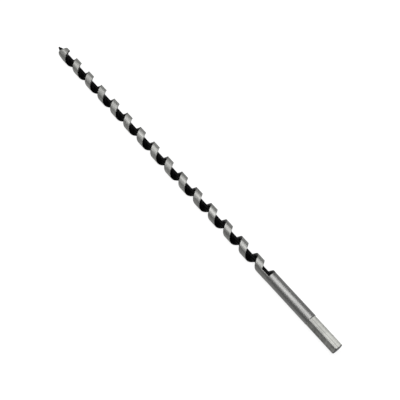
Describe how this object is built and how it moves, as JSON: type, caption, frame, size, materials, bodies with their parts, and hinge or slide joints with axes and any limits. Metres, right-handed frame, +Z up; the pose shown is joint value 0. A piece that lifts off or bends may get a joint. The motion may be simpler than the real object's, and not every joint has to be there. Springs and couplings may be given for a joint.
{
  "type": "auger drill bit",
  "caption": "Long auger bit for boring wood: a screw point, a head with a scoring spur and a cutting lip, a broad right-hand spiral with an open flute, and a round shank with a hexagonal end.",
  "frame": {"origin": "centre of the flat end face of the hexagonal shank", "axes": "+X along the bit to the point of the lead screw, +Z up out of a flat of the hexagon, +Y completes the right-handed frame"},
  "size_m": [0.46, 0.0134, 0.0134],
  "materials": {
    "ground_steel": "bright, with fine grinding marks along the bit",
    "twist_steel": "glossy black flute, with the land ground bright on its outside",
    "black_steel": "black, satin"
  },
  "bodies": {
    "root": {"lead_screw": "black_steel", "cutting_head": "ground_steel", "twist": "twist_steel", "shank": "ground_steel"}
  },
  "joints": []
}
